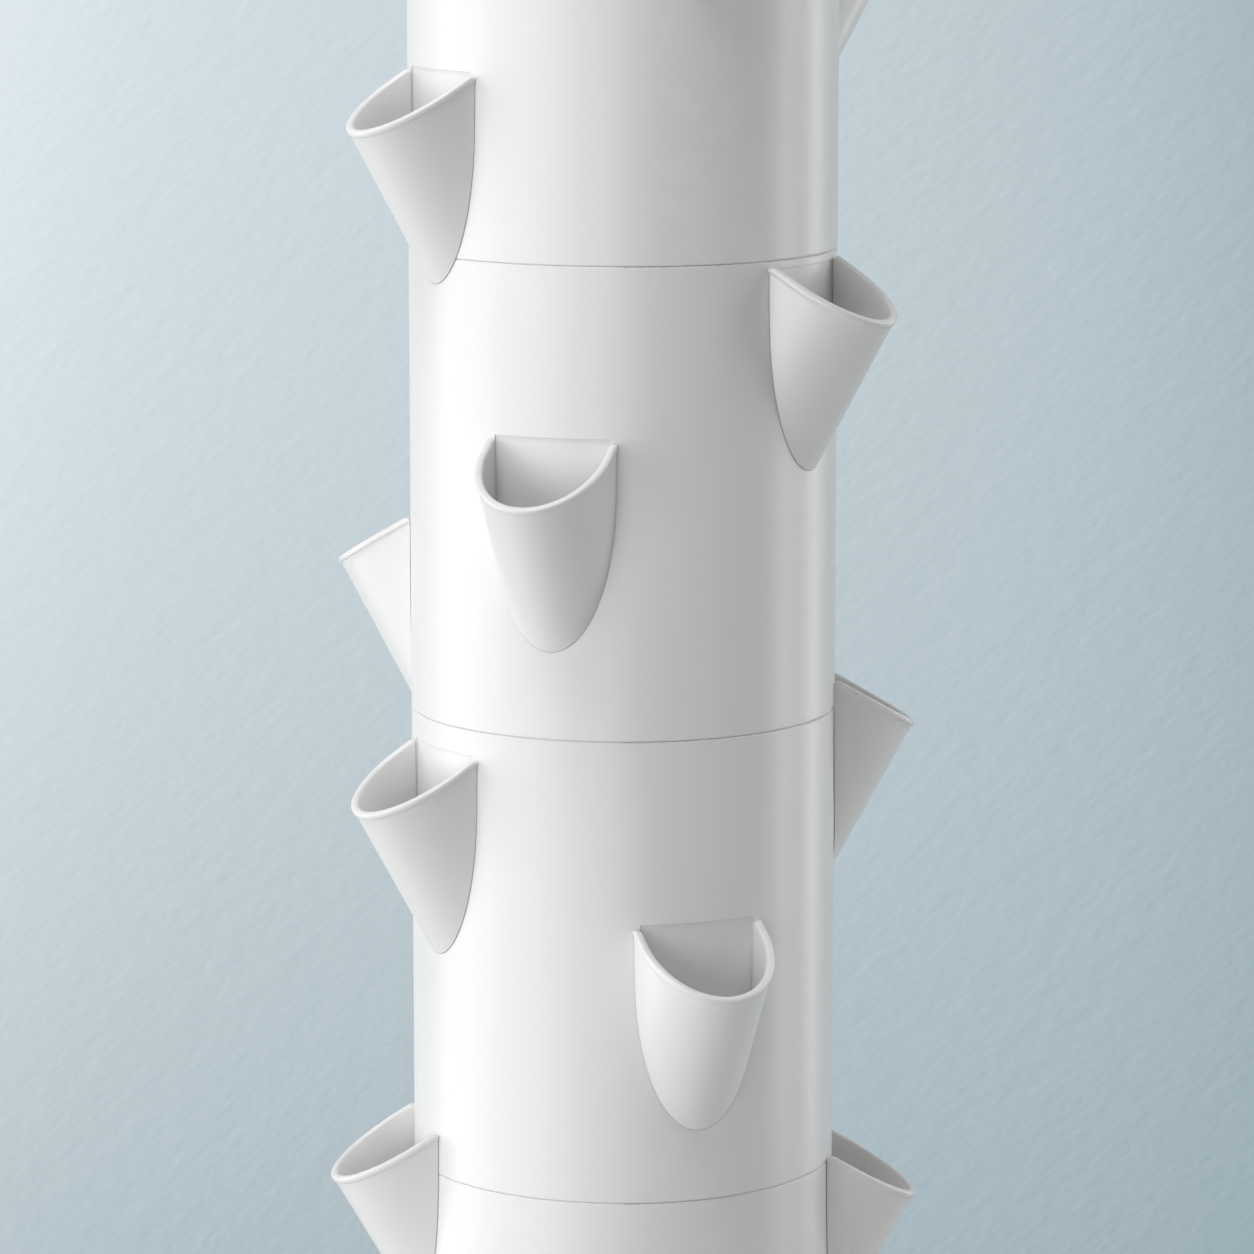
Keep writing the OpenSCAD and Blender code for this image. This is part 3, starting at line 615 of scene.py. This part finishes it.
def backdrop(n):
    """The pale blue wall's colour by direction, with painted light and shade: lightest at the upper left,
    darkest at the lower right.
    """
    way = n.add("ShaderNodeTexCoord").outputs["Generated"]
    parts = n.add("ShaderNodeSeparateXYZ", {"Vector": way})
    side = n.ramp(parts.outputs["X"], (-FIELD_WIDTH, FIELD_WIDTH), (-1.0, 1.0))
    foot = FIELD_TOP - FIELD_HEIGHT * FIELD_PAST
    down = n.ramp(parts.outputs["Z"], (FIELD_TOP, foot), (0.0, FIELD_PAST))
    squared = n.math("MULTIPLY", n.math("POWER", side, 2.0), SIDE_FALL[1])
    slope = n.math("MULTIPLY", side, n.math("ADD", squared, SIDE_FALL[0]))
    eased = n.math("SUBTRACT", 1.0, n.math("MULTIPLY", down, CORNER_EASE))
    fall = n.math("MULTIPLY", down, n.math("ADD", n.math("MULTIPLY", down, DOWN_FALL[1]), DOWN_FALL[0]))
    # Painted shade: the wall darkens towards the right and towards the bottom.
    tone = n.math("SUBTRACT", n.math("SUBTRACT", BACK_TONE, n.math("MULTIPLY", slope, eased)), fall)
    return n.mix(plaster(n, way, tone), BACK_DARK, BACK_LIGHT)


def make_world():
    """Soft ambient light, and the background for camera, glossy and transmitted rays."""
    world = bpy.data.worlds.new("studio")
    bpy.context.scene.world = world
    n = Nodes(world)
    seen = n.add("ShaderNodeBackground", {"Color": backdrop(n)})
    light = n.add("ShaderNodeBackground", {"Color": (*AMBIENT, 1)})
    rays = n.add("ShaderNodeLightPath").outputs
    shown = n.math("MAXIMUM", rays["Is Camera Ray"], rays["Is Glossy Ray"])
    shown = n.math("MAXIMUM", shown, rays["Is Transmission Ray"])
    mixed = n.add("ShaderNodeMixShader", {
        0: shown, 1: light.outputs["Background"], 2: seen.outputs["Background"]})
    n.add("ShaderNodeOutputWorld", {"Surface": mixed.outputs["Shader"]})


def softbox(name, angle, height, distance, size, power):
    """A rectangular lamp round the tower: angle from the front, to the right as seen from the camera."""
    lamp = bpy.data.lights.new(name, "AREA")
    lamp.shape = "RECTANGLE"
    lamp.size, lamp.size_y = size
    lamp.energy = power
    made = bpy.data.objects.new(name, lamp)
    turn = math.radians(angle)
    made.location = (distance * math.sin(turn), -distance * math.cos(turn), height)
    way = Vector((0, 0, LAMP_AIM)) - made.location
    made.rotation_euler = way.to_track_quat("-Z", "Y").to_euler()
    made.visible_camera = False
    bpy.context.scene.collection.objects.link(made)


def make_lamps():
    """Six soft lamps: heights, distances and sizes in metres, powers in watts."""
    softbox("side", angle=-92, height=0.5, distance=2.4, size=(2.0, 2.0), power=28.0)
    softbox("key", angle=-46, height=0.5, distance=2.4, size=(1.6, 2.0), power=21.0)
    softbox("fill", angle=-10, height=0.45, distance=2.6, size=(1.2, 1.1), power=8.0)
    softbox("strip", angle=122, height=1.1, distance=2.0, size=(0.5, 2.4), power=10.5)
    softbox("edge", angle=95, height=1.1, distance=2.0, size=(0.4, 2.4), power=11.0)
    softbox("top", angle=-40, height=2.7, distance=0.7, size=(0.8, 0.8), power=20.0)


def make_camera():
    """The photograph's view."""
    data = bpy.data.cameras.new("camera")
    data.lens = PHOTO_LENS
    data.sensor_width = SENSOR
    camera = bpy.data.objects.new("camera", data)
    camera.location = CAMERA_AT
    camera.rotation_euler = (math.radians(90 - CAMERA_DOWN), 0, math.radians(CAMERA_TURN))
    bpy.context.scene.collection.objects.link(camera)
    bpy.context.scene.camera = camera


def keep_sizes():
    """Brings the view layer up to date."""
    bpy.context.view_layer.update()


make_camera()
make_world()
make_lamps()
make_floor()
MATERIALS = make_materials()
dress_frame(MATERIALS)
make_pockets(MATERIALS["white_plastic"])
bpy.context.scene.view_settings.view_transform = "Standard"
keep_sizes()
